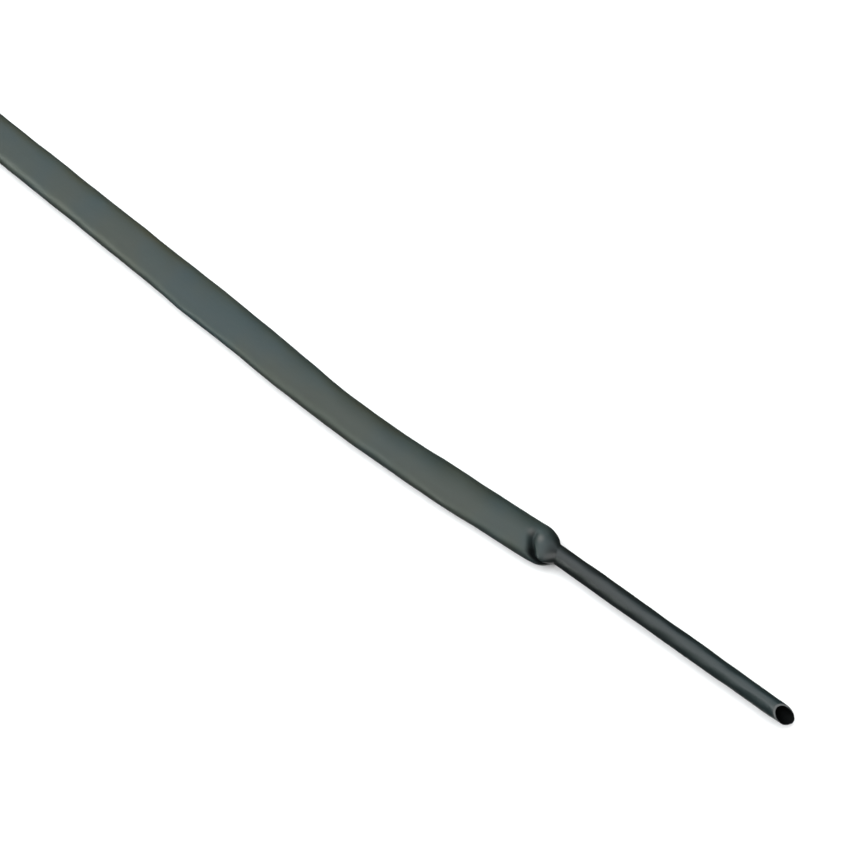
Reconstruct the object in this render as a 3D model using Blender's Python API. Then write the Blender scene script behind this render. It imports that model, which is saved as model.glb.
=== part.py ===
"""One length of black heat shrink tube, one end of it recovered over nothing.

The tube is a single thin-walled piece. Its expanded part lies on the floor, pressed a little
oval, and bends gently. Its recovered end is round and thin, carries straight on from a short
shoulder, and is cut off on the slant. The far end is cut off square.
Stations run along the tube's middle line: 0 at the neck, where the recovered end starts,
negative over the expanded part and positive towards the slanted tip. Metres, +Z up.
"""
import math

import bpy
import numpy as np

# The tube as it is sold
STOCK_LENGTH = 0.500
EXPANDED_BORE = 0.0127
RECOVERED_BORE = 0.00635
RECOVERED_WALL = 0.00064

# The recovered end and the shoulder behind it
RECOVERED_LENGTH = 0.1114
TIP_BORE = 0.0058
TIP_WALL = 0.00058
TIP_SLANT = math.radians(50.0)
TIP_YAW = math.radians(12.0)
TAPER_POWER = 2.5
SHOULDER_LENGTH = 0.0100
SHOULDER_POWER = 1.7
DOME_SWELL = 0.0002
RECOVERED_RISE = 0.0005
SHOULDER_LEAN = 0.0011
LEAN_BACK = (0.020, 0.012)
LEAN_FRONT = (0.007, 0.001)

# How flat the expanded part lies: distance behind the neck, outer half height
FLATTENING = (
    (0.000, 0.00545),
    (0.022, 0.00536),
    (0.048, 0.00492),
    (0.075, 0.00552),
    (0.105, 0.00570),
    (0.124, 0.00493),
    (0.150, 0.00460),
    (0.177, 0.00425),
    (0.200, 0.00482),
    (0.250, 0.00512),
    (0.310, 0.00525),
)

# Which way the tube heads on the floor, in degrees from +X: distance behind the neck, heading
HEADINGS = (
    (0.000, 0.0),
    (0.004, 7.0),
    (0.012, 3.2),
    (0.024, 2.6),
    (0.070, 2.7),
    (0.078, 0.6),
    (0.094, 0.2),
    (0.104, -2.6),
    (0.114, -4.4),
    (0.150, -4.7),
    (0.162, -3.3),
    (0.260, -3.2),
)

# The crease round the shoulder: angle round the tube in degrees, distance behind the neck, depth
CREASE_PATH = (
    (66.0, 0.0101, 0.0004),
    (86.0, 0.0106, 0.0008),
    (101.0, 0.0106, 0.0010),
    (116.0, 0.0099, 0.0012),
    (129.0, 0.0091, 0.0014),
    (141.0, 0.0086, 0.0015),
    (151.0, 0.0082, 0.0014),
    (161.0, 0.0069, 0.0011),
    (172.0, 0.0044, 0.0008),
    (182.0, 0.0026, 0.0005),
)
CREASE_HALF_WIDTH = 0.0014
CREASE_FADE_ANGLE = 18.0

# How finely the tube is divided
POINTS_ROUND = 48
ROUTE_STEP = 0.0005
STRAIGHT_STEP = 0.015
BEND_STEP = 0.009
SHOULDER_STEP = 0.0010
BEND_BACK = 0.212
SHOULDER_SPAN = (-0.002, 0.014)
TIP_SPAN_IN_CUTS = 1.2

# The colour of the plastic
TUBE_COLOUR = (0.040, 0.046, 0.043, 1.0)
TUBE_ROUGHNESS = 0.46

# Sizes that follow from the ones above
RECOVERED_RADIUS = RECOVERED_BORE / 2 + RECOVERED_WALL
PLASTIC_AREA = math.pi * (RECOVERED_RADIUS ** 2 - (RECOVERED_BORE / 2) ** 2)
EXPANDED_RADIUS = math.sqrt((EXPANDED_BORE / 2) ** 2 + PLASTIC_AREA / math.pi)
TIP_RADIUS = TIP_BORE / 2 + TIP_WALL
TIP_PLASTIC_AREA = math.pi * (TIP_RADIUS ** 2 - (TIP_BORE / 2) ** 2)
FAR_END = RECOVERED_LENGTH - STOCK_LENGTH


def clear_scene():
    """Removes every object, so that the script builds the same thing each time."""
    for old in list(bpy.data.objects):
        bpy.data.objects.remove(old, do_unlink=True)


def tube_material():
    """Satin black cross-linked plastic."""
    material = bpy.data.materials.new("heat_shrink_plastic")
    material.use_nodes = True
    shader = material.node_tree.nodes["Principled BSDF"]
    shader.inputs["Base Color"].default_value = TUBE_COLOUR
    shader.inputs["Roughness"].default_value = TUBE_ROUGHNESS
    shader.inputs["Metallic"].default_value = 0.0
    material.diffuse_color = TUBE_COLOUR
    return material


def ring_stations():
    """Stations of the rings: close together over the shoulder, wider apart elsewhere."""
    shoulder_back = -SHOULDER_SPAN[1]
    shoulder_front = -SHOULDER_SPAN[0]
    bend_back = -BEND_BACK
    cut_depth = 2 * TIP_RADIUS * math.tan(TIP_SLANT) + TIP_RADIUS * math.tan(TIP_YAW)
    last_whole_ring = RECOVERED_LENGTH - TIP_SPAN_IN_CUTS * cut_depth
    spans = (
        (FAR_END, bend_back, STRAIGHT_STEP),
        (bend_back, shoulder_back, BEND_STEP),
        (shoulder_back, shoulder_front, SHOULDER_STEP),
        (shoulder_front, last_whole_ring, STRAIGHT_STEP),
    )
    pieces = []
    for start, stop, step in spans:
        count = max(1, int(round((stop - start) / step)))
        pieces.append(np.linspace(start, stop, count, endpoint=False))
    return np.concatenate(pieces + [np.array([last_whole_ring, RECOVERED_LENGTH])])


def route(stations):
    """Middle line of the tube on the floor, worked out by adding up short steps of its heading."""
    behind, degrees = np.array(HEADINGS).T
    fine = np.arange(FAR_END - ROUTE_STEP, RECOVERED_LENGTH + 2 * ROUTE_STEP, ROUTE_STEP)
    middle = fine + ROUTE_STEP / 2
    heading = np.radians(np.interp(-middle, behind, degrees))
    x_line = np.concatenate(([0.0], np.cumsum(np.cos(heading)[:-1]))) * ROUTE_STEP
    y_line = np.concatenate(([0.0], np.cumsum(np.sin(heading)[:-1]))) * ROUTE_STEP
    x_line -= np.interp(0.0, fine, x_line)
    y_line -= np.interp(0.0, fine, y_line)
    at_ring = np.radians(np.interp(-stations, behind, degrees))
    return np.interp(stations, fine, x_line), np.interp(stations, fine, y_line), at_ring


def drawn_out(stations):
    """How far the recovered end has narrowed towards its tip: 0 at the neck, 1 at the tip."""
    return np.clip(stations / RECOVERED_LENGTH, 0.0, 1.0) ** TAPER_POWER


def oval_half_width(half_height):
    """Half width of the oval that has the round tube's perimeter and the given half height."""
    low = np.full_like(half_height, EXPANDED_RADIUS)
    high = np.full_like(half_height, 2 * EXPANDED_RADIUS)
    for _ in range(40):
        width = (low + high) / 2
        flatness = ((width - half_height) / (width + half_height)) ** 2
        perimeter = math.pi * (width + half_height) * (1 + 3 * flatness / (10 + np.sqrt(4 - 3 * flatness)))
        too_long = perimeter > 2 * math.pi * EXPANDED_RADIUS
        high = np.where(too_long, width, high)
        low = np.where(too_long, low, width)
    return (low + high) / 2


def resting_half_height(stations):
    """Outer half height of the expanded part as it lies pressed flat, never more than round."""
    behind, flat_height = np.array(FLATTENING).T
    return np.minimum(np.interp(-stations, behind, flat_height), EXPANDED_RADIUS)


def outer_section(stations):
    """Outer half width, half height and axis height. Over the shoulder the width shrinks to the
    thin round end as a quarter cosine, the height as a parabola plus a swell as a sine squared,
    and the axis rises a little as a sine squared. Past the neck the axis stays level."""
    flat_height = resting_half_height(stations)
    flat_width = oval_half_width(flat_height)
    thin_radius = RECOVERED_RADIUS + (TIP_RADIUS - RECOVERED_RADIUS) * drawn_out(stations)
    shrunk = np.clip(1 + stations / SHOULDER_LENGTH, 0.0, 1.0)
    still_wide = np.cos(math.pi / 2 * shrunk ** SHOULDER_POWER)
    still_high = 1 - shrunk ** 2
    half_width = thin_radius + (flat_width - thin_radius) * still_wide
    swell = DOME_SWELL * np.sin(math.pi * shrunk) ** 2
    half_height = thin_radius + (flat_height - thin_radius) * still_high + swell
    neck_axis = resting_half_height(np.zeros(1))[0] + RECOVERED_RISE
    rising = np.sin(math.pi / 2 * shrunk) ** 2
    axis_height = flat_height + (neck_axis - flat_height) * rising
    return half_width, half_height, axis_height * math.cos(math.pi / POINTS_ROUND)


def wall_at(stations, half_width, half_height):
    """Wall measured across the axis. The plastic's area stays the same up to the drawn-out tip."""
    area = PLASTIC_AREA + (TIP_PLASTIC_AREA - PLASTIC_AREA) * drawn_out(stations)
    mean_radius = np.minimum((half_width + half_height) / 2, EXPANDED_RADIUS)
    wall = mean_radius - np.sqrt(mean_radius ** 2 - area / math.pi)
    slope = np.gradient(mean_radius, stations)
    return wall * np.sqrt(1 + slope ** 2)


def crease_depth(stations, angles):
    """Depth of the shoulder's crease: a bell curve across its line, as deep as the table says for
    the angle, and faded out at both ends of the line."""
    path_angle, behind, depth = np.array(CREASE_PATH).T
    degrees = np.degrees(angles) % 360.0
    across_line = (stations[:, None] + np.interp(degrees, path_angle, behind)[None, :]) / CREASE_HALF_WIDTH
    start = np.clip((degrees - path_angle[0]) / CREASE_FADE_ANGLE, 0.0, 1.0)
    end = np.clip((path_angle[-1] + CREASE_FADE_ANGLE - degrees) / CREASE_FADE_ANGLE, 0.0, 1.0)
    depth_here = start * end * np.interp(degrees, path_angle, depth)
    return depth_here[None, :] * np.exp(-across_line ** 2)


def shoulder_lean(stations, angles):
    """How far the shoulder's rings lean along the tube: back on the +Y side and forward on the
    other, as a cosine round the tube, and faded out behind the shoulder and past the neck."""
    back = np.clip((stations + LEAN_BACK[0]) / (LEAN_BACK[0] - LEAN_BACK[1]), 0.0, 1.0)
    front = np.clip((LEAN_FRONT[0] - stations) / (LEAN_FRONT[0] - LEAN_FRONT[1]), 0.0, 1.0)
    return -SHOULDER_LEAN * (back * front)[:, None] * np.cos(angles)[None, :]


def surface_points(stations, half_width, half_height, axis_height, dent):
    """Points of one surface of the tube, as a grid of rings, with its tip cut on the slant."""
    angles = 2 * math.pi * (np.arange(POINTS_ROUND) + 0.5) / POINTS_ROUND
    across = (half_width[:, None] - dent) * np.cos(angles)[None, :]
    above = (half_height[:, None] - dent) * np.sin(angles)[None, :]
    z = axis_height[:, None] + above
    tip_bottom = axis_height[-1] - TIP_RADIUS
    lengthwise = shoulder_lean(stations, angles)
    lengthwise[-1] -= (z[-1] - tip_bottom) * math.tan(TIP_SLANT) - across[-1] * math.tan(TIP_YAW)
    x_line, y_line, heading = route(stations)
    x = x_line[:, None] - np.sin(heading)[:, None] * across + np.cos(heading)[:, None] * lengthwise
    y = y_line[:, None] + np.cos(heading)[:, None] * across + np.sin(heading)[:, None] * lengthwise
    return np.stack((x, y, z), axis=-1)


def tube_surfaces():
    """Outer and inner surface points, with the same crease in both."""
    stations = ring_stations()
    angles = 2 * math.pi * (np.arange(POINTS_ROUND) + 0.5) / POINTS_ROUND
    half_width, half_height, axis_height = outer_section(stations)
    wall = wall_at(stations, half_width, half_height)
    dent = crease_depth(stations, angles)
    outer = surface_points(stations, half_width, half_height, axis_height, dent)
    inner = surface_points(stations, half_width - wall, half_height - wall, axis_height, dent)
    return outer, inner


def centred(outer, inner):
    """Moves both surfaces so that the part's box is centred over the origin and stands on z = 0."""
    low = outer.reshape(-1, 3).min(axis=0)
    high = outer.reshape(-1, 3).max(axis=0)
    base = np.array(((low[0] + high[0]) / 2, (low[1] + high[1]) / 2, low[2]))
    return outer - base, inner - base


def quads_between(first_ring, second_ring):
    """Four-cornered faces joining two rings of point numbers."""
    after_first = np.roll(first_ring, -1, axis=-1)
    after_second = np.roll(second_ring, -1, axis=-1)
    quads = np.stack((first_ring, after_first, after_second, second_ring), axis=-1)
    return quads.reshape(-1, 4)


def tube_mesh():
    """The closed mesh: outer wall, inner wall, square far end and slanted tip."""
    outer, inner = centred(*tube_surfaces())
    rings = outer.shape[0]
    outer_numbers = np.arange(rings * POINTS_ROUND).reshape(rings, POINTS_ROUND)
    inner_numbers = outer_numbers + rings * POINTS_ROUND
    faces = np.concatenate((
        quads_between(outer_numbers[:-1], outer_numbers[1:]),
        quads_between(inner_numbers[:-1], inner_numbers[1:])[:, ::-1],
        quads_between(inner_numbers[0], outer_numbers[0]),
        quads_between(outer_numbers[-1], inner_numbers[-1]),
    ))
    points = np.concatenate((outer.reshape(-1, 3), inner.reshape(-1, 3)))
    mesh = bpy.data.meshes.new("heat_shrink_tube")
    mesh.from_pydata(points.tolist(), [], faces.tolist())
    smooth = np.ones(len(faces), dtype=bool)
    smooth[-2 * POINTS_ROUND:] = False
    mesh.polygons.foreach_set("use_smooth", smooth)
    mesh.update()
    return mesh


def build_tube():
    """Places the tube in the scene."""
    tube = bpy.data.objects.new("heat_shrink_tube", tube_mesh())
    tube.data.materials.append(tube_material())
    bpy.context.scene.collection.objects.link(tube)
    return tube


clear_scene()
build_tube()
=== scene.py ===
"""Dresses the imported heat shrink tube: its finished surface, plastic, floor, lights and camera.

The tube is one thin-walled sleeve. Its wide part lies on the floor, pressed a little oval, and
its recovered end is thin, round and cut off on the slant. Stations run along the middle line:
0 at the neck, negative over the wide part and positive towards the tip. Metres, +Z up.
"""
import math

import bpy
import numpy as np
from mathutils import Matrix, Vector


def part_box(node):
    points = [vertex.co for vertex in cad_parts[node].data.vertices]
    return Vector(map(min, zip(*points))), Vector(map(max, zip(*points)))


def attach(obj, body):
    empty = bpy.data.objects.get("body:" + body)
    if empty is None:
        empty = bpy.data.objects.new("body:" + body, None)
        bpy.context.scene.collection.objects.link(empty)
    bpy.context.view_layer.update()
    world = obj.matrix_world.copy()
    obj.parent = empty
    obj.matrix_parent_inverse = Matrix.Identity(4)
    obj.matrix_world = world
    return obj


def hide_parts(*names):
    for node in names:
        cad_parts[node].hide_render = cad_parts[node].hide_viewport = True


# The tube's sizes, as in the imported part
STOCK_LENGTH = 0.500
EXPANDED_BORE = 0.0127
RECOVERED_BORE = 0.00635
RECOVERED_WALL = 0.00064
RECOVERED_LENGTH = 0.1114
TIP_BORE = 0.0058
TIP_WALL = 0.00058
TIP_SLANT = math.radians(50.0)
TIP_YAW = math.radians(12.0)
TAPER_POWER = 2.5
SHOULDER_LENGTH = 0.0100
SHOULDER_POWER = 1.7
DOME_SWELL = 0.0002
RECOVERED_RISE = 0.0005
SHOULDER_LEAN = 0.0011
SIDE_LEAN = 0.0005
LEAN_BACK = (0.020, 0.012)
LEAN_FRONT = (0.007, 0.001)

# How flat the wide part lies: distance behind the neck, outer half height
FLATTENING = (
    (0.000, 0.00545),
    (0.022, 0.00536),
    (0.048, 0.00492),
    (0.075, 0.00552),
    (0.105, 0.00570),
    (0.124, 0.00493),
    (0.150, 0.00460),
    (0.177, 0.00425),
    (0.200, 0.00482),
    (0.250, 0.00512),
    (0.310, 0.00525),
)
FLATTENING_BLEND = 0.006

# Which way the tube heads on the floor, in degrees from +X: distance behind the neck, heading
HEADINGS = (
    (0.000, 0.0),
    (0.004, 7.0),
    (0.012, 3.2),
    (0.024, 2.6),
    (0.070, 2.7),
    (0.078, 0.6),
    (0.094, 0.2),
    (0.104, -2.6),
    (0.114, -4.4),
    (0.150, -4.7),
    (0.162, -3.3),
    (0.260, -3.2),
)

# The crease round the shoulder: angle round the tube in degrees, distance behind the neck, depth
CREASE_PATH = (
    (66.0, 0.0101, 0.0004),
    (86.0, 0.0106, 0.0008),
    (101.0, 0.0106, 0.0010),
    (116.0, 0.0099, 0.0012),
    (129.0, 0.0091, 0.0014),
    (141.0, 0.0086, 0.0015),
    (151.0, 0.0082, 0.0014),
    (161.0, 0.0069, 0.0011),
    (172.0, 0.0044, 0.0008),
    (182.0, 0.0026, 0.0005),
)
CREASE_HALF_WIDTH = 0.0013
CREASE_SHARPNESS = 1.4
CREASE_DEEPENING = 1.3
CREASE_FADE_ANGLE = 18.0

# Painted highlights beside the crease: angle, distance off the crease's line
PAINTED_GLINT_SPOTS = ((88.0, -0.0018), (91.0, 0.0026))
PAINTED_GLINT_RADIUS = 0.0013
PAINTED_GLINT_SPREAD = 11.0
# A painted highlight behind the tip's lip, on the side that faces the viewer: strength, length and side
LIP_PAINTED_HIGHLIGHT = 0.6
LIP_HIGHLIGHT_LENGTH = 0.0016
LIP_HIGHLIGHT_SIDE = 0.6

# Painted shade in the crease: its half width, how far it lies back, and the angles between which it
# thickens
SHADE_HALF_WIDTH = 0.0020
SHADE_BEHIND = 0.0007
SHADE_SHARPNESS = 3.0
SHADE_ANGLES = (66.0, 140.0)

# Slow waves in the skin: pitch along the tube, crests round it, shift and share of the height
WAVES = (
    (0.041, 2.0, 0.0, 1.0),
    (0.023, -3.0, 1.3, 0.7),
    (0.013, 5.0, 0.4, 0.5),
)
WAVE_HEIGHT = 0.00006

# Fades round the tube: a level, and what the sine of the angle adds to it
WAVE_FADE = (1.2, 1.4)
FEATHER_FADE = (0.5, -1.2)

# How a cut wanders along the tube: crests round the rim, turns of the start and share of the height
CUT_WANDERINGS = ((2.0, 1.0, 1.0), (5.0, 2.1, 0.5), (11.0, 0.7, 0.25))
CUT_UNEVENNESS = 0.00012
FAR_CUT_START = 0.9
TIP_CUT_START = 2.3

# The rims, and what the knife left of the tip
RIM_ROUNDING = 0.00014
TIP_PINCH = 0.00022
PINCH_LENGTH = 0.012
TIP_NICK = 0.0010
NICK_ANGLE = 248.0
NICK_SPREAD = 52.0
FEATHER_EDGE = 0.65
FEATHER_LENGTH = 0.005

# How far back the tip's slant starts, in lengths of the slanted cut
SLANT_RUN = 1.3

# How finely the surface is divided
POINTS_ROUND = 144
ROUTE_STEP = 0.0005
WIDE_STEP = 0.0016
THIN_STEP = 0.0016
SHOULDER_STEP = 0.0003
SHOULDER_SPAN = (-0.003, 0.014)
CUT_STEP = 0.0004
CUT_SPAN = 0.002
BORE_SKIP = 3
HALVINGS = 40
BLEND_SAMPLES = 9

# What a ring or a face belongs to, in the order of the sleeve's finishes
SKIN, CUT, BORE = 0, 1, 2

# Sizes that follow from the ones above
RECOVERED_RADIUS = RECOVERED_BORE / 2 + RECOVERED_WALL
PLASTIC_AREA = math.pi * (RECOVERED_RADIUS ** 2 - (RECOVERED_BORE / 2) ** 2)
EXPANDED_RADIUS = math.sqrt((EXPANDED_BORE / 2) ** 2 + PLASTIC_AREA / math.pi)
TIP_RADIUS = TIP_BORE / 2 + TIP_WALL
TIP_PLASTIC_AREA = math.pi * (TIP_RADIUS ** 2 - (TIP_BORE / 2) ** 2)
FAR_END = RECOVERED_LENGTH - STOCK_LENGTH

# The photograph's view
CAMERA_AZIMUTH = math.radians(39.21)
CAMERA_ELEVATION = math.radians(60.0)
CAMERA_TARGET = (0.06251, 0.00994, 0.0)
CAMERA_DISTANCE = 2.2519
CAMERA_LENS = 250.0
SENSOR_WIDTH = 36.0
CAMERA_SEES = (0.05, 100.0)

# Colours, all linear
COOL_SKIN = (0.010, 0.021, 0.022)
WARM_SKIN = (0.017, 0.022, 0.016)
RECOVERED_SKIN = (0.005, 0.007, 0.007)
PAINTED_HIGHLIGHT_SKIN = (0.060, 0.062, 0.058)
DUSTY_SKIN = (0.026, 0.036, 0.030)
CREASE_SHADE_COLOUR = (0.002, 0.003, 0.003)
BORE_WALL = (0.0015, 0.0018, 0.0018)
CUT_PLASTIC = (0.105, 0.112, 0.112)
DARK_CUT_AND_PAINTED_SHADE = (0.006, 0.007, 0.007)
FLOOR_PALE = (0.93, 0.93, 0.93)
SURROUNDINGS = (0.03, 0.03, 0.03)
BACKDROP = (1.0, 1.0, 1.0)

# Where along the tube the plastic changes, and the heights over which the painted shade low on the tip's
# cut face fades out
HEATED_SPAN = (-0.009, -0.002)
DULLING_START = 0.02
CUT_SHADE_HEIGHTS = (0.0045, 0.0075)

# Gloss of the surfaces that hardly shine, and how rough the crease's painted shade is
DULL_GLOSS = 0.03
SHADE_ROUGHNESS = 0.8

# The floor that the tube lies on
FLOOR_RADIUS = 30.0
FLOOR_CORNERS = 96
FLOOR_SHADE = 0.98


def share(values):
    """The values held between 0 and 1."""
    return np.clip(values, 0.0, 1.0)


def drawn_out(stations):
    """How far the recovered end has narrowed to its tip: (station / recovered length) to a power."""
    return share(stations / RECOVERED_LENGTH) ** TAPER_POWER


def oval_half_width(half_height):
    """Half width of the ellipse with the round tube's perimeter, found by halving an interval."""
    low = np.full_like(half_height, EXPANDED_RADIUS)
    high = np.full_like(half_height, 2 * EXPANDED_RADIUS)
    for _ in range(HALVINGS):
        width = (low + high) / 2
        flatness = ((width - half_height) / (width + half_height)) ** 2
        perimeter = math.pi * (width + half_height) * (1 + 3 * flatness / (10 + np.sqrt(4 - 3 * flatness)))
        too_long = perimeter > 2 * math.pi * EXPANDED_RADIUS
        high = np.where(too_long, width, high)
        low = np.where(too_long, low, width)
    return (low + high) / 2


def resting_half_height(stations):
    """The table of half heights, averaged over a short stretch each side, so that it has no corners."""
    behind, heights = np.array(FLATTENING).T
    shifts = np.linspace(-FLATTENING_BLEND, FLATTENING_BLEND, BLEND_SAMPLES)
    return np.mean([np.interp(-stations + shift, behind, heights) for shift in shifts], axis=0)


def outer_section(stations):
    """Outer half width, half height and axis height. Over the shoulder the width shrinks to the
    thin round end as a quarter cosine, the height as a parabola plus a swell as a sine squared,
    and the axis rises a little as a sine squared; past it the axis stays level."""
    flat_height = np.minimum(resting_half_height(stations), EXPANDED_RADIUS)
    flat_width = oval_half_width(flat_height)
    thin_radius = RECOVERED_RADIUS + (TIP_RADIUS - RECOVERED_RADIUS) * drawn_out(stations)
    shrunk = share(1 + stations / SHOULDER_LENGTH)
    still_wide = np.cos(math.pi / 2 * shrunk ** SHOULDER_POWER)
    still_high = 1 - shrunk ** 2
    half_width = thin_radius + (flat_width - thin_radius) * still_wide
    swell = DOME_SWELL * np.sin(math.pi * shrunk) ** 2
    half_height = thin_radius + (flat_height - thin_radius) * still_high + swell
    neck_axis = resting_half_height(np.zeros(1))[0] + RECOVERED_RISE
    rising = np.sin(math.pi / 2 * shrunk) ** 2
    return half_width, half_height, flat_height + (neck_axis - flat_height) * rising


def wall_at(stations, half_width, half_height):
    """Wall across the axis, from the mean radius and an area of plastic that stays the same."""
    area = PLASTIC_AREA + (TIP_PLASTIC_AREA - PLASTIC_AREA) * drawn_out(stations)
    mean_radius = np.minimum((half_width + half_height) / 2, EXPANDED_RADIUS)
    wall = mean_radius - np.sqrt(mean_radius ** 2 - area / math.pi)
    slope = np.gradient(mean_radius, stations)
    return wall * np.sqrt(1 + slope ** 2)


def route(stations):
    """Middle line on the floor: the running sum of short steps, each along the heading there."""
    behind, degrees = np.array(HEADINGS).T
    fine = np.arange(FAR_END - 4 * ROUTE_STEP, RECOVERED_LENGTH + 4 * ROUTE_STEP, ROUTE_STEP)
    heading = np.radians(np.interp(-(fine + ROUTE_STEP / 2), behind, degrees))
    x_line = np.concatenate(([0.0], np.cumsum(np.cos(heading)[:-1]))) * ROUTE_STEP
    y_line = np.concatenate(([0.0], np.cumsum(np.sin(heading)[:-1]))) * ROUTE_STEP
    x_line -= np.interp(0.0, fine, x_line)
    y_line -= np.interp(0.0, fine, y_line)
    at_ring = np.radians(np.interp(-stations, behind, degrees))
    return np.interp(stations, fine, x_line), np.interp(stations, fine, y_line), at_ring


def ring_stations():
    """Stations of the rings: closest over the shoulder and beside both cuts."""
    spans = (
        (FAR_END, FAR_END + CUT_SPAN, CUT_STEP),
        (FAR_END + CUT_SPAN, -SHOULDER_SPAN[1], WIDE_STEP),
        (-SHOULDER_SPAN[1], -SHOULDER_SPAN[0], SHOULDER_STEP),
        (-SHOULDER_SPAN[0], RECOVERED_LENGTH - CUT_SPAN, THIN_STEP),
        (RECOVERED_LENGTH - CUT_SPAN, RECOVERED_LENGTH, CUT_STEP),
    )
    pieces = []
    for start, stop, step in spans:
        count = max(1, int(round((stop - start) / step)))
        pieces.append(np.linspace(start, stop, count, endpoint=False))
    return np.concatenate(pieces + [np.array([RECOVERED_LENGTH])])


def ring_angles():
    """Angles of the points round a ring, from the +Y side over the top."""
    return 2 * math.pi * (np.arange(POINTS_ROUND) + 0.5) / POINTS_ROUND


def off_crease(stations, angles):
    """How far each point is ahead of the crease's line, whose station changes with the angle."""
    path_angle, behind, _ = np.array(CREASE_PATH).T
    return stations[:, None] + np.interp(np.degrees(angles) % 360.0, path_angle, behind)[None, :]


def crease_relief(stations, angles):
    """Depth of the shoulder's crease: exp(-(distance / half width) ** sharpness) across its line,
    deeper than the table by a fixed share, and faded out at both ends of the line."""
    path_angle, _, depth = np.array(CREASE_PATH).T
    degrees = np.degrees(angles) % 360.0
    start = share((degrees - path_angle[0]) / CREASE_FADE_ANGLE)
    end = share((path_angle[-1] + CREASE_FADE_ANGLE - degrees) / CREASE_FADE_ANGLE)
    depth_here = CREASE_DEEPENING * start * end * np.interp(degrees, path_angle, depth)
    off_line = np.abs(off_crease(stations, angles)) / CREASE_HALF_WIDTH
    return depth_here[None, :] * np.exp(-off_line ** CREASE_SHARPNESS)


def painted_highlights(stations, angles):
    """How much painted highlight the skin gets, from 0 to 1: a round bell curve at each of the two
    spots beside the crease, and a bell curve behind the tip's lip on the side of the tube that faces the
    viewer."""
    ahead = off_crease(stations, angles)
    degrees = np.degrees(angles)[None, :]
    spots = sum(
        np.exp(-((ahead - offset) / PAINTED_GLINT_RADIUS) ** 2 - ((degrees - angle) / PAINTED_GLINT_SPREAD) ** 2)
        for angle, offset in PAINTED_GLINT_SPOTS)
    lip = np.exp(-((stations - RECOVERED_LENGTH) / LIP_HIGHLIGHT_LENGTH) ** 2)
    return spots + LIP_PAINTED_HIGHLIGHT * lip[:, None] * share(LIP_HIGHLIGHT_SIDE - np.cos(angles))[None, :]


def crease_shade_marks(stations, angles):
    """Painted shade that darkens the crease's valley, from 0 to 1: exp(-(distance / half width) **
    sharpness) across a line a little behind the crease, thicker towards the line's lower end."""
    degrees = np.degrees(angles) % 360.0
    thickening = share((degrees - SHADE_ANGLES[0]) / (SHADE_ANGLES[1] - SHADE_ANGLES[0]))
    end = share((CREASE_PATH[-1][0] + CREASE_FADE_ANGLE - degrees) / CREASE_FADE_ANGLE)
    off_line = np.abs(off_crease(stations, angles) + SHADE_BEHIND) / SHADE_HALF_WIDTH
    across = np.exp(-off_line ** SHADE_SHARPNESS)
    return across * (thickening * end)[None, :]


def shoulder_lean(stations, angles):
    """How far the shoulder's rings lean along the tube: back on the +Y side and forward on the
    other, as a cosine round the tube, and faded out behind the shoulder and past the neck."""
    back = share((stations + LEAN_BACK[0]) / (LEAN_BACK[0] - LEAN_BACK[1]))
    front = share((LEAN_FRONT[0] - stations) / (LEAN_FRONT[0] - LEAN_FRONT[1]))
    leaning = SHOULDER_LEAN * np.cos(angles) + SIDE_LEAN * share(np.cos(angles))
    return -(back * front)[:, None] * leaning[None, :]


def wave_relief(stations, angles):
    """Slight unevenness: sines along and round the tube, added up, and faded out by the sine of
    the angle towards the underside that lies on the floor."""
    along = stations[:, None]
    turn = angles[None, :]
    waves = sum(
        height * np.sin(2 * math.pi * along / pitch + crests * turn + shift)
        for pitch, crests, shift, height in WAVES)
    above_floor = share(WAVE_FADE[0] + WAVE_FADE[1] * np.sin(turn))
    return WAVE_HEIGHT * waves * above_floor


def tip_nick(angles):
    """How far the knife took off the tip's lowest corner: a bell curve round the rim."""
    return TIP_NICK * np.exp(-((np.degrees(angles) - NICK_ANGLE) / NICK_SPREAD) ** 2)


def cut_line(angles, start):
    """How far a cut wanders along the tube, round its rim: a few sines of different pitch."""
    return CUT_UNEVENNESS * sum(
        height * np.sin(crests * angles + turns * start) for crests, turns, height in CUT_WANDERINGS)


def tip_pinch(stations, angles):
    """How far the cut has pinched the tip inwards: a parabola over its last stretch, reckoned from
    where the slant of the cut puts each point."""
    above_bottom = TIP_RADIUS * (1 + np.sin(angles))[None, :]
    set_back = slant_share(stations)[:, None] * above_bottom * math.tan(TIP_SLANT)
    near = share(1 + (stations[:, None] - set_back - RECOVERED_LENGTH) / PINCH_LENGTH)
    return TIP_PINCH * near ** 2


def feathered(stations, angles):
    """Share of the wall that is left: the knife ran out through the tip's underside, and left
    a thin edge there."""
    near = share(1 + (stations - RECOVERED_LENGTH) / FEATHER_LENGTH)
    below = share(FEATHER_FADE[0] + FEATHER_FADE[1] * np.sin(angles))
    return 1 - FEATHER_EDGE * near[:, None] * below[None, :]


def slant_share(stations):
    """How much of the tip's slant a ring has: 1 at the tip, and 0 a little more than the slanted
    cut's own length before it."""
    cut_length = 2 * TIP_RADIUS * math.tan(TIP_SLANT)
    return share(1 + (stations - RECOVERED_LENGTH) / (SLANT_RUN * cut_length))


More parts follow.
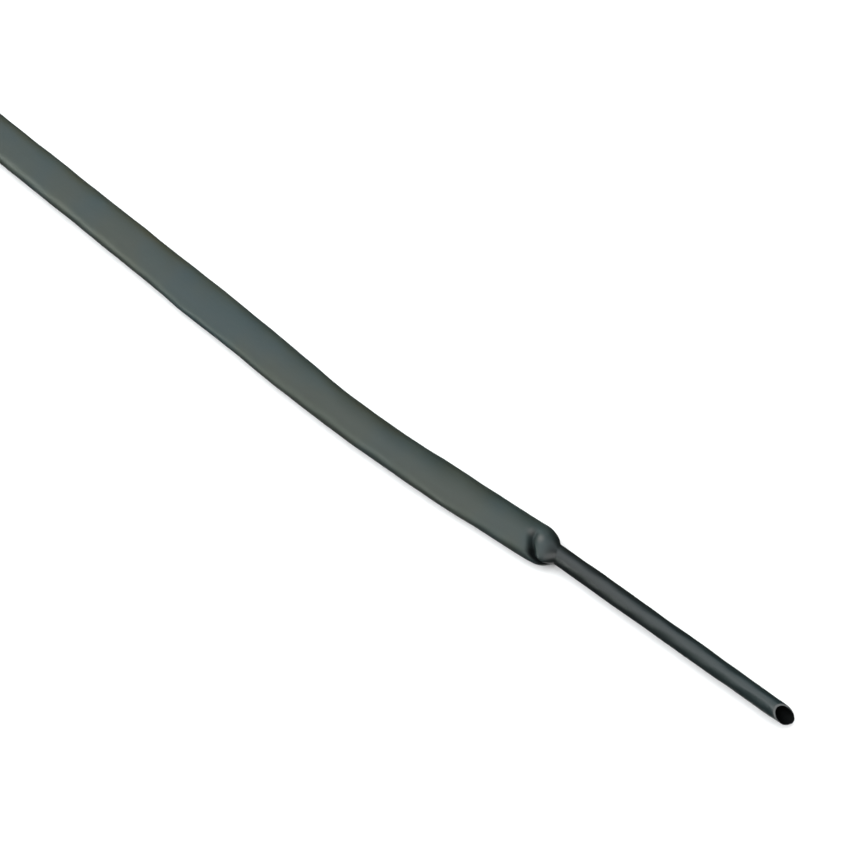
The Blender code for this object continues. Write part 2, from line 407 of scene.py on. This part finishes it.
def tube_surface(stations, inset, dent):
    """One surface of the tube. A point at angle a is half_width cos a across and half_height sin a
    above the axis, less the relief, carried along the route and sheared by the slant of the tip."""
    angles = ring_angles()
    half_width, half_height, axis_height = outer_section(stations)
    across = (half_width[:, None] - inset - dent) * np.cos(angles)[None, :]
    above = (half_height[:, None] - inset - dent) * np.sin(angles)[None, :]
    x_line, y_line, heading = route(stations)
    far_cut = share(1 - (stations - FAR_END) / CUT_SPAN)[:, None] * cut_line(angles, FAR_CUT_START)
    slant = slant_share(stations)[:, None]
    tip_cut = slant * (cut_line(angles, TIP_CUT_START) + tip_nick(angles))
    z = axis_height[:, None] + above
    tip_bottom = axis_height[-1] - TIP_RADIUS
    slanted = (z - tip_bottom) * math.tan(TIP_SLANT) - across * math.tan(TIP_YAW)
    lengthwise = shoulder_lean(stations, angles) + far_cut - tip_cut - slant * slanted
    x = x_line[:, None] - np.sin(heading)[:, None] * across + np.cos(heading)[:, None] * lengthwise
    y = y_line[:, None] + np.cos(heading)[:, None] * across + np.sin(heading)[:, None] * lengthwise
    return np.stack((x, y, z), axis=-1)


def rim_rings(outer_ring, inner_ring, outward):
    """Seven rings over a cut face, from its outer edge to its inner one. Each edge is a quarter
    circle: from the edge's ring it goes in by r (1 - cos t) and back by r (1 - sin t)."""
    wall = inner_ring - outer_ring
    inwards = wall / np.linalg.norm(wall, axis=-1, keepdims=True)
    rounding = np.minimum(RIM_ROUNDING, np.linalg.norm(wall, axis=-1, keepdims=True) / 3)
    turns = np.radians((0.0, 45.0, 90.0))
    aside = [rounding * (1 - math.cos(turn)) * inwards for turn in turns]
    behind = [rounding * (1 - math.sin(turn)) * np.asarray(outward) for turn in turns]
    outer_edge = [outer_ring + aside[step] - behind[step] for step in (0, 1, 2)]
    inner_edge = [inner_ring - aside[step] - behind[step] for step in (2, 1, 0)]
    return np.stack(outer_edge + [outer_ring + wall / 2] + inner_edge)


def tube_rings():
    """All the rings of the sleeve in order: outside from far end to tip, the slanted rim, the bore
    back to the far end, and the square rim. Returns points, the painted highlight and painted crease
    shade marks, stations and a region number for each ring."""
    stations = ring_stations()
    angles = ring_angles()
    half_width, half_height, _ = outer_section(stations)
    wall = wall_at(stations, half_width, half_height)
    dent = crease_relief(stations, angles) + wave_relief(stations, angles)
    dent = dent + tip_pinch(stations, angles)
    outer = tube_surface(stations, 0.0, dent)
    inner = tube_surface(stations, wall[:, None] * feathered(stations, angles), dent)
    kept = np.arange(BORE_SKIP, len(stations) - 1, BORE_SKIP)[::-1]
    far_heading = route(stations[:1])[2][0]
    far_face = (-math.cos(far_heading), -math.sin(far_heading), 0.0)
    tip_face = Vector((1.0, -math.tan(TIP_YAW), math.tan(TIP_SLANT))).normalized()
    tip_rim = rim_rings(outer[-1], inner[-1], tip_face)
    far_rim = rim_rings(outer[0], inner[0], far_face)[::-1]
    points = np.concatenate((outer[1:-1], tip_rim, inner[kept], far_rim))
    marks = np.zeros((2, *points.shape[:2]))
    marks[0, :len(stations) - 2] = painted_highlights(stations[1:-1], angles)
    marks[1, :len(stations) - 2] = crease_shade_marks(stations[1:-1], angles)
    tip_places = np.full(len(tip_rim), stations[-1])
    far_places = np.full(len(far_rim), stations[0])
    ring_places = np.concatenate((stations[1:-1], tip_places, stations[kept], far_places))
    over_rim = np.array((SKIN, CUT, CUT, CUT, CUT, CUT, BORE))
    regions = np.concatenate((
        np.full(len(stations) - 2, SKIN), over_rim, np.full(len(kept), BORE), over_rim[::-1]))
    return points, marks, ring_places, regions


def sleeve_faces(rings):
    """Quads between each ring and the next, the last ring joined to the first: a closed sleeve."""
    first = np.arange(rings * POINTS_ROUND).reshape(rings, POINTS_ROUND)
    second = np.roll(first, -1, axis=0)
    after_first = np.roll(first, -1, axis=1)
    after_second = np.roll(second, -1, axis=1)
    return np.stack((first, after_first, after_second, second), axis=-1)


def over_the_packed_box(points):
    """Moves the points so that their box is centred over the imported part's, and stands on its floor."""
    low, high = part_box("heat_shrink_tube")
    flat = points.reshape(-1, 3)
    here = (flat.min(axis=0) + flat.max(axis=0)) / 2
    shift = (np.array(low) + np.array(high)) / 2 - here
    shift[2] = low[2] - flat[:, 2].min()
    return points + shift


def make_sleeve(finishes):
    """The finished tube as one mesh, with a map in metres, and with the station, the painted
    highlights and the painted shade in the crease as attributes."""
    points, marks, places, regions = tube_rings()
    points = over_the_packed_box(points)
    rings = len(points)
    faces = sleeve_faces(rings)
    mesh = bpy.data.meshes.new("tube_sleeve")
    mesh.from_pydata(points.reshape(-1, 3), [], faces.reshape(-1, 4))
    next_regions = np.roll(regions, -1)
    beside_cut = (regions == CUT) | (next_regions == CUT)
    face_region = np.where(beside_cut, CUT, np.maximum(regions, next_regions))
    mesh.polygons.foreach_set("material_index", np.repeat(face_region, POINTS_ROUND).astype(np.int32))
    mesh.polygons.foreach_set("use_smooth", np.ones(rings * POINTS_ROUND, dtype=bool))
    station = mesh.attributes.new("station", "FLOAT", "POINT")
    station.data.foreach_set("value", np.repeat(places, POINTS_ROUND).astype(np.float32))
    for name, mark in zip(("painted_highlight", "painted_crease_shade"), marks):
        layer = mesh.attributes.new(name, "FLOAT", "POINT")
        layer.data.foreach_set("value", mark.astype(np.float32).ravel())
    girth = mesh.uv_layers.new(name="girth_and_length")
    turn = np.arange(POINTS_ROUND)[None, :, None] + np.array([0, 1, 1, 0])[None, None, :]
    round_metres = turn * (2 * math.pi * EXPANDED_RADIUS / POINTS_ROUND)
    next_places = np.roll(places, -1)
    length_metres = np.stack((places, places, next_places, next_places), axis=-1)[:, None, :]
    corners = np.stack(np.broadcast_arrays(round_metres, length_metres), axis=-1)
    girth.data.foreach_set("uv", corners.astype(np.float32).ravel())
    mesh.update()
    sleeve = bpy.data.objects.new("tube_sleeve", mesh)
    bpy.context.scene.collection.objects.link(sleeve)
    for finish in finishes:
        mesh.materials.append(finish)
    return sleeve


class Signal:
    """A shader socket that adds, subtracts and multiplies by making Math nodes."""

    def __init__(self, finish, socket):
        self.finish = finish
        self.socket = socket

    def maths(self, operation, first, second):
        return self.finish.node("ShaderNodeMath", {"operation": operation}, {0: first, 1: second})

    def __add__(self, other):
        return self.maths("ADD", self, other)

    def __radd__(self, other):
        return self.maths("ADD", other, self)

    def __sub__(self, other):
        return self.maths("SUBTRACT", self, other)

    def __rsub__(self, other):
        return self.maths("SUBTRACT", other, self)

    def __mul__(self, other):
        return self.maths("MULTIPLY", self, other)

    def __rmul__(self, other):
        return self.maths("MULTIPLY", other, self)


class Finish:
    """One material, with a single way to add a node to it."""

    def __init__(self, name, colour, roughness):
        self.material = bpy.data.materials.new(name)
        self.material.use_nodes = True
        self.material.diffuse_color = (*colour, 1.0)
        self.tree = self.material.node_tree
        self.shader = self.tree.nodes["Principled BSDF"]
        self.shader.inputs["Base Color"].default_value = (*colour, 1.0)
        self.shader.inputs["Roughness"].default_value = roughness

    def node(self, kind, settings, inputs, output=0):
        """Adds a node, sets it up, feeds its sockets with values or signals, gives one output."""
        made = self.tree.nodes.new(kind)
        for name, value in settings.items():
            setattr(made, name, value)
        for name, value in inputs.items():
            self.feed(made.inputs[name], value)
        return Signal(self, made.outputs[output])

    def feed(self, socket, value):
        """Links a signal to a socket, or sets the socket's own value."""
        if isinstance(value, Signal):
            self.tree.links.new(value.socket, socket)
        else:
            socket.default_value = value

    def ranged(self, value, low, high, out_low=0.0, out_high=1.0):
        """Value carried from one range to another and held inside it."""
        inputs = {"Value": value, "From Min": low, "From Max": high, "To Min": out_low, "To Max": out_high}
        return self.node("ShaderNodeMapRange", {"clamp": True}, inputs)

    def tinted(self, amount, first, second):
        """Colour mixed from two colours, each a signal or three numbers. The amount is the second's."""
        colours = [value if isinstance(value, Signal) else (*value, 1.0) for value in (first, second)]
        inputs = {0: amount, 6: colours[0], 7: colours[1]}
        return self.node("ShaderNodeMix", {"data_type": "RGBA"}, inputs, 2)

    def noise(self, place, scale, detail=2.0, rough=0.5):
        """Noise from 0 to 1 at a place, of so many cells a metre."""
        inputs = {"Vector": place, "Scale": scale, "Detail": detail, "Roughness": rough}
        return self.node("ShaderNodeTexNoise", {}, inputs)

    def cover(self, amount, colour, roughness, gloss, bump):
        """Lays a coat of one colour over the surface, which hides as much of it as the amount says."""
        coat = self.node("ShaderNodeBsdfPrincipled", {}, {
            "Base Color": (*colour, 1.0),
            "Roughness": roughness,
            "Specular IOR Level": gloss,
            "Normal": bump,
        })
        skin = Signal(self, self.shader.outputs[0])
        mixed = self.node("ShaderNodeMixShader", {}, {0: amount, 1: skin, 2: coat})
        self.tree.links.new(mixed.socket, self.tree.nodes["Material Output"].inputs["Surface"])

    def stretched(self, place, factors):
        """A place with each of its axes multiplied by its own factor."""
        return self.node("ShaderNodeVectorMath", {"operation": "MULTIPLY"}, {0: place, 1: factors})


def skin_finish():
    """Satin black plastic: faint lengthwise die lines, patches a shade cooler or warmer, dust in the
    grain, painted highlights beside the crease and behind the tip's lip, painted shade in the crease,
    and a blacker, glossier skin where it was heated."""
    finish = Finish("satin_skin", COOL_SKIN, 0.48)
    place = finish.node("ShaderNodeTexCoord", {}, {}, "Object")
    along = finish.node("ShaderNodeUVMap", {"uv_map": "girth_and_length"}, {})
    station = finish.node("ShaderNodeAttribute", {"attribute_name": "station"}, {}, "Fac")
    heated = finish.ranged(station, *HEATED_SPAN)
    tip_dulling = finish.ranged(station, DULLING_START, RECOVERED_LENGTH)
    painted_highlight = finish.node("ShaderNodeAttribute", {"attribute_name": "painted_highlight"}, {}, "Fac")
    clouds = finish.noise(place, 90.0, 3.0)
    drift = finish.ranged(finish.noise(place, 34.0, 2.0), 0.38, 0.62)
    die_lines = finish.noise(finish.stretched(along, (2600.0, 26.0, 1.0)), 1.0, 3.0, 0.6)
    grain = finish.noise(place, 2600.0, 2.0, 0.6)
    specks = finish.ranged(finish.noise(place, 1500.0, 1.0), 0.66, 0.74)
    cloud_dust = finish.ranged(clouds, 0.35, 0.70) * 0.22
    line_dust = finish.ranged(die_lines, 0.5, 0.8) * 0.15
    dust = cloud_dust + specks * 0.30 + line_dust
    cold_skin = finish.tinted(drift, COOL_SKIN, WARM_SKIN)
    hot_skin = finish.tinted(tip_dulling * 0.6, RECOVERED_SKIN, COOL_SKIN)
    bare = finish.tinted(heated, cold_skin, hot_skin)
    dusty = finish.tinted(dust * (1.0 - 0.6 * heated), bare, DUSTY_SKIN)
    # Painted highlights: paler spots beside the crease and a paler band behind the tip's lip.
    finish.feed(finish.shader.inputs["Base Color"], finish.tinted(painted_highlight, dusty, PAINTED_HIGHLIGHT_SKIN))
    rough = 0.43 + 0.08 * finish.ranged(clouds, 0.3, 0.7) + 0.04 * specks + 0.06 * (grain - 0.5)
    finish.feed(finish.shader.inputs["Roughness"], rough - 0.13 * heated)
    height = grain * 0.5 + die_lines * 0.5
    bump = finish.node("ShaderNodeBump", {}, {"Strength": 0.26, "Distance": 0.00004, "Height": height})
    finish.feed(finish.shader.inputs["Normal"], bump)
    # Painted shade: a near-black, dull coat laid over the crease's valley.
    painted_crease_shade = finish.node("ShaderNodeAttribute", {"attribute_name": "painted_crease_shade"}, {}, "Fac")
    finish.cover(painted_crease_shade, CREASE_SHADE_COLOUR, SHADE_ROUGHNESS, DULL_GLOSS, bump)
    return finish.material


def cut_finish():
    """Cut plastic: matt and paler, with fine marks that the blade left across the rim, and painted
    shade low down, where the rim is thin."""
    finish = Finish("knife_cut", CUT_PLASTIC, 0.62)
    place = finish.node("ShaderNodeTexCoord", {}, {}, "Object")
    marks = finish.noise(finish.stretched(place, (1400.0, 5200.0, 1400.0)), 1.0, 3.0, 0.6)
    height = finish.node("ShaderNodeSeparateXYZ", {}, {0: place}, 2)
    unshaded_cut = finish.tinted(finish.ranged(marks, 0.35, 0.75) * 0.5, CUT_PLASTIC, DARK_CUT_AND_PAINTED_SHADE)
    # Painted shade: the cut face turns dark towards its bottom.
    colour = finish.tinted(finish.ranged(height, *CUT_SHADE_HEIGHTS), DARK_CUT_AND_PAINTED_SHADE, unshaded_cut)
    finish.feed(finish.shader.inputs["Base Color"], colour)
    finish.feed(finish.shader.inputs["Roughness"], 0.56 + 0.14 * marks)
    bump = finish.node("ShaderNodeBump", {}, {"Strength": 0.5, "Distance": 0.00005, "Height": marks})
    finish.feed(finish.shader.inputs["Normal"], bump)
    return finish.material


def bore_finish():
    """The inside: blacker and duller than the skin, with lengthwise lines from the extruder's pin."""
    finish = Finish("bore_wall", BORE_WALL, 0.6)
    finish.shader.inputs["Specular IOR Level"].default_value = DULL_GLOSS
    along = finish.node("ShaderNodeUVMap", {"uv_map": "girth_and_length"}, {})
    lines = finish.noise(finish.stretched(along, (1800.0, 18.0, 1.0)), 1.0, 3.0, 0.6)
    colour = finish.tinted(finish.ranged(lines, 0.4, 0.8) * 0.25, BORE_WALL, RECOVERED_SKIN)
    finish.feed(finish.shader.inputs["Base Color"], colour)
    finish.feed(finish.shader.inputs["Roughness"], 0.54 + 0.12 * lines)
    bump = finish.node("ShaderNodeBump", {}, {"Strength": 0.3, "Distance": 0.00004, "Height": lines})
    finish.feed(finish.shader.inputs["Normal"], bump)
    return finish.material


def floor_finish():
    """Plain pale matt board, with the faintest mottling."""
    finish = Finish("pale_floor", FLOOR_PALE, 0.85)
    place = finish.node("ShaderNodeTexCoord", {}, {}, "Object")
    mottling = finish.noise(place, 9.0, 2.0)
    shade = tuple(FLOOR_SHADE * part for part in FLOOR_PALE)
    finish.feed(finish.shader.inputs["Base Color"], finish.tinted(mottling, FLOOR_PALE, shade))
    return finish.material


def make_floor():
    """A level round floor. Gloss doesn't see it, so that the tube's edges stay dark."""
    turns = np.linspace(0.0, 2 * math.pi, FLOOR_CORNERS, endpoint=False)
    rim = np.stack((np.cos(turns), np.sin(turns), np.zeros_like(turns)), axis=-1) * FLOOR_RADIUS
    mesh = bpy.data.meshes.new("floor")
    mesh.from_pydata(rim.tolist(), [], [list(range(len(rim)))])
    mesh.materials.append(floor_finish())
    mesh.update()
    floor = bpy.data.objects.new("floor", mesh)
    bpy.context.scene.collection.objects.link(floor)
    floor.visible_glossy = False


def soft_light(name, place, aim, size, brightness, colour=(1.0, 1.0, 1.0), lights="both"):
    """A rectangular soft light of an even brightness, in units of the white that the camera shows.
    It faces its aim, isn't seen itself, and lights the matt share, the gloss or both."""
    lamp = bpy.data.lights.new(name, "AREA")
    lamp.shape = "RECTANGLE"
    lamp.size, lamp.size_y = size
    lamp.energy = brightness * math.pi * size[0] * size[1]
    lamp.color = colour
    made = bpy.data.objects.new(name, lamp)
    bpy.context.scene.collection.objects.link(made)
    made.location = place
    made.rotation_mode = "QUATERNION"
    made.rotation_quaternion = (Vector(place) - Vector(aim)).to_track_quat("Z", "Y")
    made.visible_camera = False
    made.visible_diffuse = lights != "gloss"
    made.visible_glossy = lights != "matt"


def panel_beside(name, x_range, distance, angles, brightness, colour):
    """A panel beside the tube, at a distance from its middle line, that only gloss sees. It spans two
    angles from the vertical, positive towards the viewer, and faces the line."""
    middle = math.radians(sum(angles) / 2)
    height = 2 * distance * math.tan(math.radians(angles[1] - angles[0]) / 2)
    x_middle = sum(x_range) / 2
    place = (x_middle, -distance * math.sin(middle), distance * math.cos(middle))
    size = (x_range[1] - x_range[0], height)
    soft_light(name, place, (x_middle, 0.0, 0.0), size, brightness, colour, lights="gloss")


def make_lights():
    """A big light overhead, a wide fill above it, a soft one from the near left, panels that show in
    the tube's flanks and its tip, a light beyond the neck that shows in the dome's front, and a glow
    that stands for the floor's reflection there. The surroundings are dim, and the camera sees a
    pale backdrop instead of them."""
    soft_light("overhead", (-0.65, -0.375, 1.5), (-0.65, -0.375, 0.0), (1.9, 1.95), 2.1, (0.93, 1.0, 1.02))
    soft_light("fill", (0.0, 0.0, 4.0), (0.0, 0.0, 0.0), (16.0, 16.0), 1.25, lights="matt")
    soft_light("near_left", (-0.5, -1.6, 1.0), (0.0, 0.0, 0.0), (1.6, 1.0), 3.0, lights="matt")
    panel_beside("left_back", (-0.45, -0.20), 0.33, (58.0, 84.0), 9.0, (0.97, 1.03, 0.93))
    panel_beside("left_front", (-0.08, 0.015), 0.33, (64.0, 89.0), 9.0, (0.95, 1.02, 0.97))
    panel_beside("left_thin", (0.02, 0.10), 0.33, (44.0, 66.0), 3.0, (0.97, 1.0, 1.0))
    panel_beside("right_high", (-0.60, -0.11), 0.55, (-64.0, -22.0), 2.1, (0.87, 1.0, 1.08))
    panel_beside("right_low", (-0.60, -0.09), 0.40, (-89.0, -76.0), 1.5, (1.0, 0.86, 0.45))
    neck = (0.137, -0.008, 0.008)
    soft_light("beyond_neck", (0.35, -0.17, 0.22), neck, (0.34, 0.36), 2.4, lights="gloss")
    under_neck = (0.137, -0.009, 0.004)
    soft_light("floor_glow", (0.22, -0.10, -0.30), under_neck, (0.12, 0.12), 2.5, lights="gloss")
    panel_beside("right_tip", (0.02, 0.30), 0.55, (-44.0, -22.0), 1.6, (0.87, 1.0, 1.08))
    world = bpy.data.worlds.new("studio")
    bpy.context.scene.world = world
    world.use_nodes = True
    nodes = world.node_tree.nodes
    links = world.node_tree.links
    nodes["Background"].inputs["Color"].default_value = (*SURROUNDINGS, 1.0)
    backdrop = nodes.new("ShaderNodeBackground")
    backdrop.inputs["Color"].default_value = (*BACKDROP, 1.0)
    seen = nodes.new("ShaderNodeLightPath")
    choose = nodes.new("ShaderNodeMixShader")
    links.new(seen.outputs["Is Camera Ray"], choose.inputs[0])
    links.new(nodes["Background"].outputs[0], choose.inputs[1])
    links.new(backdrop.outputs[0], choose.inputs[2])
    links.new(choose.outputs[0], nodes["World Output"].inputs["Surface"])


def show_colours_plainly():
    """The photograph's tones: a plain display curve, under which the floor is white."""
    bpy.context.scene.view_settings.view_transform = "Standard"
    bpy.context.scene.view_settings.look = "None"


def make_camera():
    """A long lens at the photograph's angle. The camera stands back from its target along its view."""
    back = Vector((
        math.sin(CAMERA_AZIMUTH) * math.cos(CAMERA_ELEVATION),
        -math.cos(CAMERA_AZIMUTH) * math.cos(CAMERA_ELEVATION),
        math.sin(CAMERA_ELEVATION),
    ))
    lens = bpy.data.cameras.new("camera")
    lens.lens = CAMERA_LENS
    lens.sensor_width = SENSOR_WIDTH
    lens.clip_start, lens.clip_end = CAMERA_SEES
    camera = bpy.data.objects.new("camera", lens)
    bpy.context.scene.collection.objects.link(camera)
    camera.location = Vector(CAMERA_TARGET) + back * CAMERA_DISTANCE
    camera.rotation_mode = "QUATERNION"
    camera.rotation_quaternion = back.to_track_quat("Z", "Y")
    bpy.context.scene.camera = camera


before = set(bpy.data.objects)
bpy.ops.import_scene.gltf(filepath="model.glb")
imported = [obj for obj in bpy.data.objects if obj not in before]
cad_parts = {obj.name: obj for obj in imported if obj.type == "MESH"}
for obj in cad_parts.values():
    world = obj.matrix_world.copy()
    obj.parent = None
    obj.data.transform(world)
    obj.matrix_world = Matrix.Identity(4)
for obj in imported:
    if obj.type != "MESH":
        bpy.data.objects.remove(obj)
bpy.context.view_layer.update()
show_colours_plainly()
make_camera()
make_lights()
make_floor()
sleeve = make_sleeve((skin_finish(), cut_finish(), bore_finish()))
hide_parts("heat_shrink_tube")
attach(sleeve, "root")
